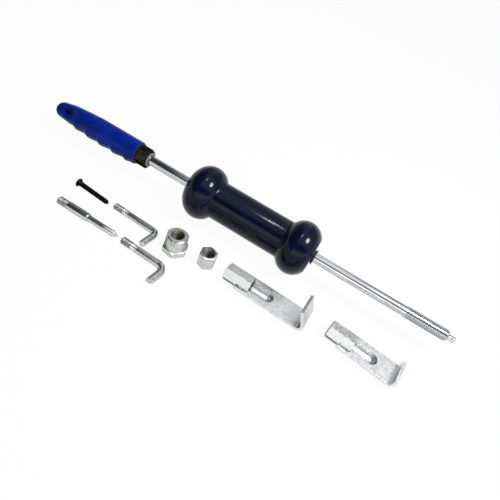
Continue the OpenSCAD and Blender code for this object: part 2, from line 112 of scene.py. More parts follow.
def smoothed(piece, crease=32.0):
    """Turns every face outwards and smooths the shading over all edges that bend less than the crease."""
    work = bmesh.new()
    work.from_mesh(piece.data)
    bmesh.ops.remove_doubles(work, verts=work.verts, dist=0.001 * MM)
    bmesh.ops.recalc_face_normals(work, faces=work.faces)
    for face in work.faces:
        face.smooth = True
    for edge in work.edges:
        edge.smooth = len(edge.link_faces) == 2 and edge.calc_face_angle(0.0) < math.radians(crease)
    work.to_mesh(piece.data)
    work.free()


def mesh_object(name, rings):
    """A closed tube from rings of points in metres, joined one to the next, with a flat face on both ends."""
    count = len(rings[0])
    last = (len(rings) - 1) * count
    faces = [tuple(reversed(range(count))), tuple(range(last, last + count))]
    for start in range(0, last, count):
        for a in range(count):
            b = (a + 1) % count
            faces.append((start + a, start + b, start + count + b, start + count + a))
    mesh = bpy.data.meshes.new(name)
    mesh.from_pydata([point for ring in rings for point in ring], [], faces)
    mesh.update()
    made = bpy.data.objects.new(name, mesh)
    bpy.context.scene.collection.objects.link(made)
    smoothed(made)
    return made


def turned(name, outline, segments=64):
    """A turned piece along +X from (x, radius) pairs in millimetres."""
    turns = [2 * math.pi * k / segments for k in range(segments)]
    return mesh_object(name, [[(x * MM, r * math.cos(t) * MM, r * math.sin(t) * MM) for t in turns]
                              for x, r in outline])


def even(start, end, step, radius):
    """Evenly spaced (x, radius) pairs for a stretch that a thread is cut into."""
    count = max(2, round((end - start) / step))
    return [(start + (end - start) * k / count, radius) for k in range(count + 1)]


def plain_mesh(piece):
    """Replaces a piece's mesh with what its modifiers make of it, and takes the modifiers off."""
    bpy.context.view_layer.update()
    seen = piece.evaluated_get(bpy.context.evaluated_depsgraph_get())
    made = bpy.data.meshes.new_from_object(seen)
    piece.modifiers.clear()
    piece.data = made


def thread_group():
    """Geometry Nodes that press a helical groove into a round bar along X."""
    tree = bpy.data.node_groups.new("rolled thread", "GeometryNodeTree")
    keys = {}
    for name, kind in (("Bar", "Geometry"), ("Pitch", "Float"), ("Depth", "Float"), ("Start", "Float"),
                       ("End", "Float"), ("Fade", "Float"), ("Crest", "Float"), ("Root", "Float"),
                       ("Metal", "Material")):
        socket = tree.interface.new_socket(name, in_out="INPUT", socket_type="NodeSocket" + kind)
        keys[name] = socket.identifier
    tree.interface.new_socket("Bar", in_out="OUTPUT", socket_type="NodeSocketGeometry")
    given = add(tree, "NodeGroupInput").outputs
    math_node, steps = "ShaderNodeMath", "ShaderNodeMapRange"
    at = add(tree, "ShaderNodeSeparateXYZ", [add(tree, "GeometryNodeInputPosition")]).outputs
    # The helix: each turn round the bar moves the groove on by one pitch
    swing = add(tree, math_node, [at["Z"], at["Y"]], operation="ARCTAN2")
    turn = add(tree, math_node, [swing, 2 * math.pi], operation="DIVIDE")
    pitches = add(tree, math_node, [at["X"], given["Pitch"]], operation="DIVIDE")
    behind = add(tree, math_node, [pitches, turn], operation="SUBTRACT")
    phase = add(tree, math_node, [behind], operation="FRACT")
    # The section: from 0 on the crests to 1 in the roots
    doubled = add(tree, math_node, [phase, 2.0], operation="MULTIPLY")
    centred = add(tree, math_node, [doubled, 1.0], operation="SUBTRACT")
    ridge = add(tree, math_node, [centred], operation="ABSOLUTE")
    groove = add(tree, steps, {"Value": ridge, "From Min": given["Crest"], "From Max": given["Root"]})
    # The run-out: the groove fades in and out at its ends
    full_at = add(tree, math_node, [given["Start"], given["Fade"]], operation="ADD")
    full_to = add(tree, math_node, [given["End"], given["Fade"]], operation="SUBTRACT")
    begins = add(tree, steps, {"Value": at["X"], "From Min": given["Start"], "From Max": full_at},
                 interpolation_type="SMOOTHSTEP")
    ends = add(tree, steps, {"Value": at["X"], "From Min": given["End"], "From Max": full_to},
               interpolation_type="SMOOTHSTEP")
    inside = add(tree, math_node, [begins, ends], operation="MULTIPLY")
    deep = add(tree, math_node, [groove, given["Depth"]], operation="MULTIPLY")
    cut = add(tree, math_node, [deep, inside], operation="MULTIPLY")
    # Each point moves toward the axis by the cut, and a point on the axis stays
    across = add(tree, math_node, [at["Y"], 2.0], operation="POWER")
    up = add(tree, math_node, [at["Z"], 2.0], operation="POWER")
    squares = add(tree, math_node, [across, up], operation="ADD")
    radius = add(tree, math_node, [squares], operation="SQRT")
    least = add(tree, math_node, [radius, 0.1 * MM], operation="MAXIMUM")
    loss = add(tree, math_node, [cut, least], operation="DIVIDE")
    share = add(tree, math_node, [1.0, loss], operation="SUBTRACT")
    moved_y = add(tree, math_node, [at["Y"], share], operation="MULTIPLY")
    moved_z = add(tree, math_node, [at["Z"], share], operation="MULTIPLY")
    moved = add(tree, "ShaderNodeCombineXYZ", [at["X"], moved_y, moved_z])
    pressed = add(tree, "GeometryNodeSetPosition", {"Geometry": given["Bar"], "Position": moved})
    whole = add(tree, "GeometryNodeRealizeInstances", [pressed])
    dressed = add(tree, "GeometryNodeSetMaterial", {"Geometry": whole, "Material": given["Metal"]})
    add(tree, "NodeGroupOutput", [dressed])
    return tree, keys


thread_tree, thread_keys = thread_group()


def thread(piece, material, pitch, depth, start, end, fade=0.5, crest=0.8, root=0.1, crease=180.0):
    """Cuts a right-handed thread into a bar along X, its lengths in millimetres.

    crest and root are shares of the half pitch: above the first the bar stays whole, below the second the
    groove is at its full depth.
    """
    modifier = piece.modifiers.new("thread", "NODES")
    modifier.node_group = thread_tree
    for name, value in (("Pitch", pitch * MM), ("Depth", depth * MM), ("Start", start * MM),
                        ("End", end * MM), ("Fade", fade * MM), ("Crest", crest), ("Root", root),
                        ("Metal", material)):
        modifier[thread_keys[name]] = value
    plain_mesh(piece)
    smoothed(piece, crease)


def own_piece(piece, material, body, replaced, other=None, faces=()):
    """Gives a piece its material, another one on some faces where asked, and its body, and hides the CAD node
    it replaces.
    """
    piece.data.materials.clear()
    piece.data.materials.append(material)
    if other:
        piece.data.materials.append(other)
        for face in faces:
            piece.data.polygons[face].material_index = 1
    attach(piece, body)
    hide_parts(replaced)


# A drawn and plated bar mirrors the room in sharp lines along its length, a little smeared by the die's marks
bright_bar = plated("bright plated bar", "#DCDEE0", "#BCC0C4", (0.07, 0.16), 0.7, 0.012, drawn=0.06)

# Radii and places along the rod, measured from the shoulder behind the thread. The pitch is thirteen turns to
# the inch, and the mesh under a thread has a ring for every step.
ROD_R, ROD_REAR, ROD_CHAMFER = 5.5, -416, 0.4
THREAD_R, THREAD_L, HALF_INCH_PITCH, THREAD_STEP = 6.35, 46.5, 1.95, 0.17
NOSE_R, END_RING_R, END_RING_AT, TIP_AT = 2.85, 3.1, 52.5, 55.1

rod_outline = [(ROD_REAR, ROD_R - ROD_CHAMFER), (ROD_REAR + ROD_CHAMFER, ROD_R)]
rod_outline += [(x, ROD_R) for x in (-300, -200, -100, -1.2, -0.1)]
rod_outline += [(0.1, 5.9), (0.4, THREAD_R)] + even(0.6, THREAD_L - 1, THREAD_STEP, THREAD_R)
rod_outline += [(THREAD_L - 0.4, 5.7), (THREAD_L, 5.3), (THREAD_L, END_RING_R), (THREAD_L + 0.4, NOSE_R)]
rod_outline += [(END_RING_AT - 0.3, NOSE_R), (END_RING_AT, END_RING_R), (TIP_AT - 0.8, END_RING_R)]
rod_outline += [(TIP_AT, 2.4)]
rod = turned("plated_rod", rod_outline, 72)
thread(rod, bright_bar, HALF_INCH_PITCH, depth=1.05, start=0.2, end=THREAD_L - 0.3, fade=0.8, crest=0.78,
       root=0.15, crease=50)
own_piece(rod, bright_bar, "puller", "rod")

# Handle: the black inner tube is held on the rod, and its flange shows at the grip's mouth.
# The royal blue grip is moulded over it, with finger ridges below, a dished end and a hang hole.


def finish(node, material):
    """Gives a CAD node its finished material."""
    mesh = nodes[node].data
    mesh.materials.clear()
    mesh.materials.append(material)


# Moulded black plastic is dull, with paler scuffs where it has rubbed
black_tube, tree = new_material("black moulded tube")
spot = add(tree, "ShaderNodeTexCoord").outputs["Object"]
scuffs = add(tree, "ShaderNodeTexNoise", {"Vector": spot, "Scale": 1 / (0.8 * MM), "Detail": 3.0,
                                          "Roughness": 0.55})
tone = add(tree, "ShaderNodeValToRGB", {"Fac": scuffs}, [(0.55, "#101012"), (0.75, "#3A3A3C")])
pores = add(tree, "ShaderNodeTexNoise", {"Vector": spot, "Scale": 1 / (0.6 * MM), "Detail": 3.0,
                                         "Roughness": 0.55})
rounded = add(tree, "ShaderNodeBevel", {"Radius": 0.3 * MM}, samples=4)
grained = add(tree, "ShaderNodeBump", {"Height": pores, "Distance": 0.05 * MM, "Strength": 1.0,
                                       "Normal": rounded})
plastic = add(tree, "ShaderNodeBsdfPrincipled", {"Base Color": tone, "Roughness": 0.5, "Normal": grained})
add(tree, "ShaderNodeOutputMaterial", {"Surface": plastic})
finish("handle_tube", black_tube)

# The grip's place behind the shoulder, and its roll about the rod in degrees
MOUTH_X, ROLL = -343.5, 49.0
# Its body, by lengths from the mouth and the radii there: a straight, a taper, a neck and a round end
GRIP_L, GRIP_R, TAPER_AT, NECK_AT, NECK_R, END_AT, END_R = 117.5, 13.6, 58, 96.5, 11.3, 108, 9.5
END_HALF_THICK, FLAT_BLEND, MOUTH_ROUNDING = 6.2, 1.5, 0.6
# How far the end leans to -Y, and the stretch over which it comes to lean so
END_SAG, SAG_AT, SAG_L = 1.6, 70, 47
# The mouth's flat face, and the socket for the tube
MOUTH_R, SOCKET_R, SOCKET_L = 12.6, 9.05, 72.55
# Finger ridges, each a wave whose steep front takes up a share of its pitch
RIDGE_AT, RIDGE_PITCH, RIDGE_H, RIDGES, RIDGES_END, STEEP_SHARE = 10.8, 18.6, 1.7, 4, 85, 0.12
# The hang hole, a little to -Y of the grip's axis, and the round dish on either side of it, hollowed about a
# line above the axis
HOLE_AT, HOLE_R, HOLE_LOW = 98.5, 2.3, 1.0
DISH_R, DISH_AXIS, DISH_HALF_STRAIGHT, RIM_BLEND = 12, 18.16, 3, 0.8
# The painted shade follows a dish that is round once its length is squeezed by this share
DISH_SQUEEZE = 0.8

# Plastic from a matt mould keeps its deep blue and shows hardly a highlight, and painted shade darkens the
# dishes
blue_grip, tree = new_material("royal blue moulded plastic")
spot = add(tree, "ShaderNodeTexCoord").outputs["Object"]
flow = add(tree, "ShaderNodeMapping", {"Vector": spot, "Scale": (0.25, 1, 1)})
streaks = add(tree, "ShaderNodeTexNoise", {"Vector": flow, "Scale": 1 / (7 * MM), "Detail": 3.0,
                                           "Roughness": 0.55})
tone = add(tree, "ShaderNodeValToRGB", {"Fac": streaks}, [(0.35, "#021864"), (0.65, "#042482")])
squeezed = add(tree, "ShaderNodeMapping", {"Vector": spot, "Scale": (DISH_SQUEEZE, 1, 1)})
# Painted shade: the blue is darkened inside the dish on each side of the hang hole
for side in (1, -1):
    centre = Vector(((MOUTH_X - HOLE_AT) * DISH_SQUEEZE, -side * DISH_AXIS * math.sin(math.radians(ROLL)),
                     side * DISH_AXIS * math.cos(math.radians(ROLL)))) * MM
    away = add(tree, "ShaderNodeVectorMath", [squeezed, centre], operation="DISTANCE").outputs["Value"]
    shade = add(tree, "ShaderNodeMapRange", {"Value": away, "From Min": (DISH_R + 0.1) * MM,
                                             "From Max": (DISH_R + 0.9) * MM, "To Min": 0.42, "To Max": 1.0})
    tone = add(tree, "ShaderNodeVectorMath", {0: tone, "Scale": shade}, operation="SCALE")
wear = add(tree, "ShaderNodeTexNoise", {"Vector": flow, "Scale": 1 / (2 * MM), "Detail": 3.0,
                                        "Roughness": 0.55})
sheen = add(tree, "ShaderNodeMapRange", {"Value": wear, "From Min": 0.3, "From Max": 0.7, "To Min": 0.3,
                                         "To Max": 0.42})
pores = add(tree, "ShaderNodeTexNoise", {"Vector": flow, "Scale": 1 / (0.5 * MM), "Detail": 3.0,
                                         "Roughness": 0.55})
grained = add(tree, "ShaderNodeBump", {"Height": pores, "Distance": 0.02 * MM, "Strength": 1.0})
plastic = add(tree, "ShaderNodeBsdfPrincipled", {"Base Color": tone, "Roughness": sheen,
                                                 "Specular IOR Level": 0.08, "Normal": grained})
add(tree, "ShaderNodeOutputMaterial", {"Surface": plastic})


def soft_least(a, b, blend):
    """The smaller of two lengths, rounded where they meet."""
    near = max(blend - abs(a - b), 0.0) / blend
    return min(a, b) - near * near * blend / 4


def grip_radius(along, angle):
    """Distance from the grip's axis to its surface, at a length from the mouth and an angle round it."""
    if along < TAPER_AT:
        body = GRIP_R - MOUTH_ROUNDING * max(1 - along / MOUTH_ROUNDING, 0) ** 2
    elif along < NECK_AT:
        body = GRIP_R - (GRIP_R - NECK_R) * (along - TAPER_AT) / (NECK_AT - TAPER_AT)
    elif along < END_AT:
        body = NECK_R - (NECK_R - END_R) * (along - NECK_AT) / (END_AT - NECK_AT)
    else:
        body = math.sqrt(max(END_R ** 2 - (along - END_AT) ** 2, 0.01))
    across, up = math.cos(angle), abs(math.sin(angle))
    # The ridges stand out on the -Y side
    swell = 0.0
    if along <= RIDGE_AT:
        swell = (along / RIDGE_AT) ** 2
    elif along < RIDGES_END:
        ridge = (along - RIDGE_AT) / RIDGE_PITCH
        share = ridge - math.floor(ridge)
        dip = share / STEEP_SHARE if share < STEEP_SHARE else (1 - share) / (1 - STEEP_SHARE)
        dip = dip if ridge + STEEP_SHARE < RIDGES else 0.0
        swell = 1 - dip * dip * (3 - 2 * dip)
    r = body + RIDGE_H * swell * max(0.0, -across) ** 2
    # Two flats close in from the taper to the free end
    half_thick = GRIP_R - max(along - TAPER_AT, 0) * (GRIP_R - END_HALF_THICK) / (GRIP_L - TAPER_AT)
    if up > 0.05 and along > TAPER_AT - 2:
        r = soft_least(r, half_thick / up, FLAT_BLEND)
    # The dish round the hang hole
    beyond = max(abs(along - HOLE_AT) - DISH_HALF_STRAIGHT, 0)
    middle = up * DISH_AXIS
    inside = DISH_R ** 2 - beyond ** 2 - DISH_AXIS ** 2 + middle ** 2
    if up > 0.3 and inside > 0 and beyond < DISH_R - 1:
        r = soft_least(r, middle - math.sqrt(inside), RIM_BLEND)
    return r


def grip_rings():
    """Rings for the socket that takes the tube, the mouth's face, and the outside down to the free end."""
    step = 0.6
    stations = [step * k for k in range(1, round(END_AT / step))]
    stations += [END_AT + (END_R - 0.05) * math.sin(math.pi * k / 40) for k in range(1, 20)]
    turns = [2 * math.pi * k / 128 for k in range(128)]
    rings = [[(x * MM, r * math.cos(t) * MM, r * math.sin(t) * MM) for t in turns]
             for x, r in ((-SOCKET_L, SOCKET_R), (-SOCKET_L / 2, SOCKET_R), (0, SOCKET_R), (0, MOUTH_R))]
    table = [[grip_radius(s, t) for t in turns] for s in stations]
    for k, s in enumerate(stations):
        # The mean of five stations softens the ridges and the dish's rim, but not the round end
        near = table[max(k - 2, 0):k + 3] if s < END_AT - 1 else [table[k]]
        radii = [sum(column) / len(near) for column in zip(*near)]
        sag = -END_SAG * min(max((s - SAG_AT) / SAG_L, 0), 1) ** 2
        rings.append([(-s * MM, (sag + r * math.cos(t)) * MM, r * math.sin(t) * MM)
                      for r, t in zip(radii, turns)])
    return rings


def put(piece, position, yaw=0.0, first=Matrix.Identity(4)):
    """Moves a piece's points to a position in millimetres, after a first move and a yaw in degrees."""
    place = Matrix.Translation(Vector(position) * MM) @ Matrix.Rotation(math.radians(yaw), 4, "Z")
    piece.data.transform(place @ first)
    piece.data.update()


def difference(piece, cutter):
    """Cuts one closed piece out of another and removes the cutter."""
    modifier = piece.modifiers.new("cut", "BOOLEAN")
    modifier.operation, modifier.solver, modifier.object = "DIFFERENCE", "EXACT", cutter
    plain_mesh(piece)
    bpy.data.objects.remove(cutter)


grip = mesh_object("moulded_grip", grip_rings())
hole = turned("hole", [(-20, HOLE_R), (20, HOLE_R)], 48)
put(hole, (-HOLE_AT, -HOLE_LOW, 0), first=Matrix.Rotation(math.radians(90), 4, "Y"))
difference(grip, hole)
smoothed(grip, 40)
put(grip, (MOUTH_X, 0, 0), first=Matrix.Rotation(math.radians(ROLL), 4, "X"))
own_piece(grip, blue_grip, "puller", "handle_grip")

# Collar: a blackened hexagonal steel nut between the handle and the bare rod, which stops the weight.
# A pale buffer ring is pressed into its face.

# Blackened steel is brown black with dull blotches, and its edges don't light up
collar_steel = plated("blackened steel", "#483F38", "#14110F", (0.3, 0.6), 0.9, 0.06, rounding=0.4,
                      edge="#101010")
finish("collar_nut", collar_steel)

# The moulded ring is grey, blotched by what the weight's blows have left on it
pale_ring, tree = new_material("pale moulded buffer ring")
spot = add(tree, "ShaderNodeTexCoord").outputs["Object"]
blotches = add(tree, "ShaderNodeTexNoise", {"Vector": spot, "Scale": 1 / (1.5 * MM), "Detail": 3.0,
                                            "Roughness": 0.55})
tone = add(tree, "ShaderNodeValToRGB", {"Fac": blotches}, [(0.35, "#444644"), (0.65, "#7E807D")])
plastic = add(tree, "ShaderNodeBsdfPrincipled", {"Base Color": tone, "Roughness": 0.45})
add(tree, "ShaderNodeOutputMaterial", {"Surface": plastic})
finish("buffer_ring", pale_ring)

# Sliding weight: a casting under thick dark blue enamel, which the hand throws along the rod.
# It runs on two black flanged bushes pressed in from its ends.

# Enamel flowed over a casting is glossy and almost black, and its slow waves bend the lamps' reflections
enamel, tree = new_material("glossy dark blue enamel on a casting")
spot = add(tree, "ShaderNodeTexCoord").outputs["Object"]
clouds = add(tree, "ShaderNodeTexNoise", {"Vector": spot, "Scale": 1 / (12 * MM), "Detail": 3.0,
                                          "Roughness": 0.55})
tone = add(tree, "ShaderNodeValToRGB", {"Fac": clouds}, [(0.35, "#040818"), (0.65, "#070C22")])
dulling = add(tree, "ShaderNodeTexNoise", {"Vector": spot, "Scale": 1 / (3 * MM), "Detail": 3.0,
                                           "Roughness": 0.55})
sheen = add(tree, "ShaderNodeMapRange", {"Value": dulling, "From Min": 0.3, "From Max": 0.7, "To Min": 0.08,
                                         "To Max": 0.14})
waves = add(tree, "ShaderNodeTexNoise", {"Vector": spot, "Scale": 1 / (6 * MM), "Detail": 3.0,
                                         "Roughness": 0.55})
waved = add(tree, "ShaderNodeBump", {"Height": waves, "Distance": 0.05 * MM, "Strength": 1.0})
gloss_coat = add(tree, "ShaderNodeBsdfPrincipled", {"Base Color": tone, "Roughness": sheen,
                                                    "Specular IOR Level": 0.16, "Normal": waved})
add(tree, "ShaderNodeOutputMaterial", {"Surface": gloss_coat})
finish("weight_casting", enamel)

# Turned black plastic is even in colour, with a soft sheen that breaks up a little
bush_black, tree = new_material("black turned bush")
spot = add(tree, "ShaderNodeTexCoord").outputs["Object"]
rubbed = add(tree, "ShaderNodeTexNoise", {"Vector": spot, "Scale": 1 / (1 * MM), "Detail": 3.0,
                                          "Roughness": 0.55})
sheen = add(tree, "ShaderNodeMapRange", {"Value": rubbed, "From Min": 0.3, "From Max": 0.7, "To Min": 0.35,
                                         "To Max": 0.5})
plastic = add(tree, "ShaderNodeBsdfPrincipled", {"Base Color": linear("#0C0C0E"), "Roughness": sheen})
add(tree, "ShaderNodeOutputMaterial", {"Surface": plastic})
finish("rear_bush", bush_black)
finish("front_bush", bush_black)

# Sheet metal screw: black steel with a flat head, a cross recess and a coarse sharp thread.
# It lies on the rim of its head and on its thread.

# The floor lies one bulb radius of the weight below the rod's axis
FLOOR_MM = -31.5

# Black oxide is matt and nearly black, so that only the thread's flanks catch some light
screw_black = plated("black oxide screw", "#1C1A19", "#0A0909", (0.3, 0.45), 0.8, 0.02, rounding=0.1,
                     edge="#101010")

SCREW_L, SCREW_R, HEAD_R, POINT_AT, POINT_L, TIP_R = 42.4, 3.0, 4.9, 38.6, 3.7, 0.7

screw_outline = [(0, HEAD_R - 0.4), (0.4, HEAD_R), (0.8, HEAD_R), (3.4, 2.4)]
screw_outline += even(3.8, POINT_AT, 0.16, SCREW_R)
screw_outline += [(POINT_AT + s, SCREW_R - (SCREW_R - TIP_R) * (s / POINT_L) ** 2)
                  for s in (0.4 * k for k in range(1, 10))]
screw_outline += [(SCREW_L, 0.4)]
screw = turned("black_screw", screw_outline, 48)
thread(screw, screw_black, pitch=2.1, depth=0.65, start=3.6, end=SCREW_L - 0.4, fade=1.0, crest=0.92,
       root=0.45, crease=50)
# Two tapered blades set crosswise cut the recess
for turn in (0, 90):
    arm = turned("arm", [(-1, 1.0), (1.6, 0.75), (2.2, 0.5)], 4)
    arm.data.transform(Matrix.Rotation(math.radians(turn), 4, "X") @ Matrix.Diagonal((1, 0.75, 2.8, 1))
                       @ Matrix.Rotation(math.radians(45), 4, "X"))
    difference(screw, arm)
smoothed(screw, 50)
# It nods until its thread touches the floor
nod = math.atan((HEAD_R - SCREW_R) / (SCREW_L - 3))
put(screw, (-373, -63, FLOOR_MM), -2, Matrix.Rotation(nod, 4, "Y") @ Matrix.Translation((0, 0, HEAD_R * MM)))
own_piece(screw, screw_black, "screw", "sheet_metal_screw")

# Draw pin: turned from bar and zinc plated, with a threaded end, a thick collar and a slim pointed shank.
# It lies on its collar.

# Zinc on drawn bar is bright, with soft reflections that run along the bar
zinc_bar = plated("zinc plated bar", "#DCDDDC", "#B4B6B4", (0.14, 0.26), 0.7, 0.012, drawn=0.1)
# A rolled thread is duller and a little yellow, because the plating is thin on its flanks
rolled_steel = plated("rolled plated thread", "#AEACA6", "#807E78", (0.36, 0.5), 0.6, 0.01)

# The small threads' pitch and the step of the mesh under them
SMALL_PITCH, SMALL_STEP = 1.0, 0.1
PIN_THREAD_R, PIN_THREAD_L, PIN_COLLAR_R, PIN_COLLAR_END, PIN_SHANK_R, PIN_L = 4.2, 11.8, 4.45, 38.2, 3.2, 76

pin_outline = [(0, PIN_THREAD_R - 0.7), (0.6, PIN_THREAD_R)]
pin_outline += even(0.7, PIN_THREAD_L - 0.2, SMALL_STEP, PIN_THREAD_R) + [(PIN_THREAD_L, 3.9), (12.6, 3.9)]
pin_outline += [(12.9, PIN_COLLAR_R), (25, PIN_COLLAR_R), (PIN_COLLAR_END - 0.6, PIN_COLLAR_R)]
pin_outline += [(PIN_COLLAR_END, PIN_COLLAR_R - 0.6), (PIN_COLLAR_END, PIN_SHANK_R), (55, PIN_SHANK_R)]
pin_outline += [(PIN_L - 7, PIN_SHANK_R), (PIN_L - 0.6, 0.75), (PIN_L, 0.5)]
pin = turned("plated_pin", pin_outline, 48)
thread(pin, zinc_bar, SMALL_PITCH, depth=0.5, start=0.3, end=PIN_THREAD_L, crease=40)
flanks = [face.index for face in pin.data.polygons if face.center.x < (PIN_THREAD_L + 0.4) * MM]
put(pin, (-366.5, -97, FLOOR_MM + PIN_COLLAR_R))
own_piece(pin, zinc_bar, "pin", "draw_pin", rolled_steel, flanks)

# Hooks: two plated steel bars bent cold to a little more than a right angle, each with a rolled thread.
# The large one's bend is rounder, and its tip is cut to a wedge.

HOOK_ANGLE, HOOK_THREAD_L, HOOK_THREAD_OVER = 94.0, 12.1, 0.2


def bent(name, outline, shaft, leg, bend, angle, segments=48):
    """A round bar along +X whose leg turns to -Y, from (distance along its middle line, radius) pairs."""
    arc_at = shaft - bend * math.tan(math.radians(angle) / 2)
    rings = []
    for s, r in outline:
        phi = min(max((s - arc_at) / bend, 0), math.radians(angle))
        beyond = max(s - arc_at - bend * math.radians(angle), 0)
        x = min(s, arc_at) + bend * math.sin(phi) + beyond * math.cos(phi)
        y = -bend + bend * math.cos(phi) - beyond * math.sin(phi)
        rings.append([((x + r * math.cos(t) * math.sin(phi)) * MM, (y + r * math.cos(t) * math.cos(phi)) * MM,
                       r * math.sin(t) * MM) for t in (2 * math.pi * k / segments for k in range(segments))])
    return mesh_object(name, rings)


def cut_tip(bar, shaft, leg, r, wedge):
    """Cuts a bent bar's tip to a wedge, at an angle in degrees to its square end."""
    along = Vector((math.cos(math.radians(-HOOK_ANGLE)), math.sin(math.radians(-HOOK_ANGLE)), 0))
    aside = Vector((-along.y, along.x, 0))
    tip = Vector((shaft, 0, 0)) + along * leg - aside * (r + 1)
    out = along * math.cos(math.radians(wedge)) + aside * math.sin(math.radians(wedge))
    work = bmesh.new()
    work.from_mesh(bar.data)
    bmesh.ops.bisect_plane(work, geom=work.verts[:] + work.edges[:] + work.faces[:], plane_co=tip * MM,
                           plane_no=out, clear_outer=True)
    bmesh.ops.holes_fill(work, edges=[edge for edge in work.edges if edge.is_boundary])
    work.to_mesh(bar.data)
    work.free()
    smoothed(bar, 40)


def hook(name, node, body, diameter, shaft, leg, bend, x, y, wedge=None):
    """A hook of bar, its shaft and leg measured to the corner where their middle lines would meet."""
    r = diameter / 2
    thread_r = r + HOOK_THREAD_OVER
    corner = bend * math.tan(math.radians(HOOK_ANGLE) / 2)
    arc_at = shaft - corner
    arc_end = arc_at + bend * math.radians(HOOK_ANGLE)
    end = arc_end + leg - corner
    outline = [(0, r - 0.4), (0.6, thread_r)] + even(0.7, HOOK_THREAD_L - 0.3, SMALL_STEP, thread_r)
    outline += [(HOOK_THREAD_L, r), (20, r), (30, r)] + even(arc_at - 0.5, arc_end + 0.5, 0.5, r)
    outline += [((arc_end + end) / 2, r), (end - 0.5, r), (end, r - 0.5)]
    bar = bent(name, outline, shaft, leg, bend, HOOK_ANGLE)
    thread(bar, zinc_bar, SMALL_PITCH, depth=0.45, start=0.3, end=HOOK_THREAD_L - 0.2, crease=40)
    if wedge:
        cut_tip(bar, shaft, leg, r, wedge)
    rolled = [face.index for face in bar.data.polygons if face.center.x < HOOK_THREAD_L * MM]
    put(bar, (x, y, FLOOR_MM + thread_r), -2)
    own_piece(bar, zinc_bar, body, node, rolled_steel, rolled)


hook("small_bent_bar", "small_hook", "hook_small", 7.0, shaft=57.0, leg=24.0, bend=5.5, x=-322.3, y=-63.0)
hook("large_bent_bar", "large_hook", "hook_large", 7.6, shaft=54.5, leg=24.5, bend=8.5, x=-284.6, y=-97.0,
     wedge=20.0)

# Screw holder and adapter nuts: hexagonal bar, turned, plated, and tapped through with the half inch thread.
# The bores are cut here into copies of the CAD nuts.

# Zinc over turned bar has crystals that cloud it, so that each flat shows one soft tone and pale edges
zinc = plated("zinc plated steel", "#DCDDDB", "#B8BAB8", (0.24, 0.4), 0.8, 0.008, rounding=0.25,
              edge="#6E7072")
# The bores were tapped after plating, so that their flanks are bare and dull with oil, and dark partly as
# painted shade inside the bore
oily_steel_and_shade = plated("oily tapped steel and painted shade", "#75726A", "#4C4942", (0.5, 0.65), 0.6, 0.01)

# The tap's radius, and a radius that holds all of its thread but none of a nut's outside
TAP_R, BORE_REACH = 6.3, 7.3


def tapped(name, node, length, position, yaw, upright, body):
    """A CAD nut with a thread cut into its bore, which runs from a position along +X, or +Z where upright."""
    mesh = nodes[node].data.copy()
    piece = bpy.data.objects.new(name, mesh)
    bpy.context.scene.collection.objects.link(piece)
    for layer in ("custom_normal", "sharp_face", "sharp_edge"):
        found = mesh.attributes.get(layer)
        if found:
            mesh.attributes.remove(found)
    smoothed(piece)
    tap = turned("tap", even(-1.0, length + 1.0, THREAD_STEP, TAP_R), 48)
    thread(tap, zinc, HALF_INCH_PITCH, depth=1.0, start=-3, end=length + 3, crest=0.75, root=0.2)
    put(tap, position, yaw, Matrix.Rotation(math.radians(-90 if upright else 0), 4, "Y"))
    difference(piece, tap)
    smoothed(piece, 28)
    middle = Vector(position) * MM
    line = Vector((0, 0, 1)) if upright else Matrix.Rotation(math.radians(yaw), 3, "Z") @ Vector((1, 0, 0))
    # The faces inside the bore take the oily steel, whose darkness is partly painted shade
    bore_faces = []
    for face in piece.data.polygons:
        out = face.center - middle
        out -= line * out.dot(line)
        if out.length < BORE_REACH * MM and face.normal.dot(out) < 0:
            bore_faces.append(face.index)
    own_piece(piece, zinc, body, node, oily_steel_and_shade, bore_faces)


tapped("holder_with_thread", "screw_holder_nut", 23, (-239.6, -68.4, FLOOR_MM), yaw=20, upright=True,
       body="holder")
tapped("adapter_with_thread", "adapter_nut", 17, (-204.2, -61.9, FLOOR_MM), yaw=12, upright=True,
       body="adapter")

# Claws: a steel strap with a pressed groove and a lip is welded to a long coupling nut, then plated.
# The weld beads were laid by hand, so that they swell and thin along the joint.

# Flat plated sheet is the palest zinc here, mottled faintly, and bright also where it is seen at a low angle
zinc_plate = plated("zinc plated strap", "#EEEFEE", "#D4D6D6", (0.32, 0.37), 0.9, 0.002, edge="#E2E4E6")
# The groove is duller than the flat, and its greyer colour is painted shade in the pressed recess
pressed = plated("zinc plated groove in painted shade", "#CED2D2", "#B8BCBC", (0.4, 0.46), 0.9, 0.002, edge="#AEB0B2")
# A plated bead is lumpy, with dark hollows between bright swellings
weld = plated("plated weld bead", "#A8A69E", "#5C5A54", (0.25, 0.5), 0.6, 0.1)

# A coupling nut lies on one of its flats. Its bead swells at even gaps, where the welder paused
NUT_FLATS, BEAD_R, BEAD_GAP, BEAD_WAVE = 17.5, 1.25, 1.7, 0.12


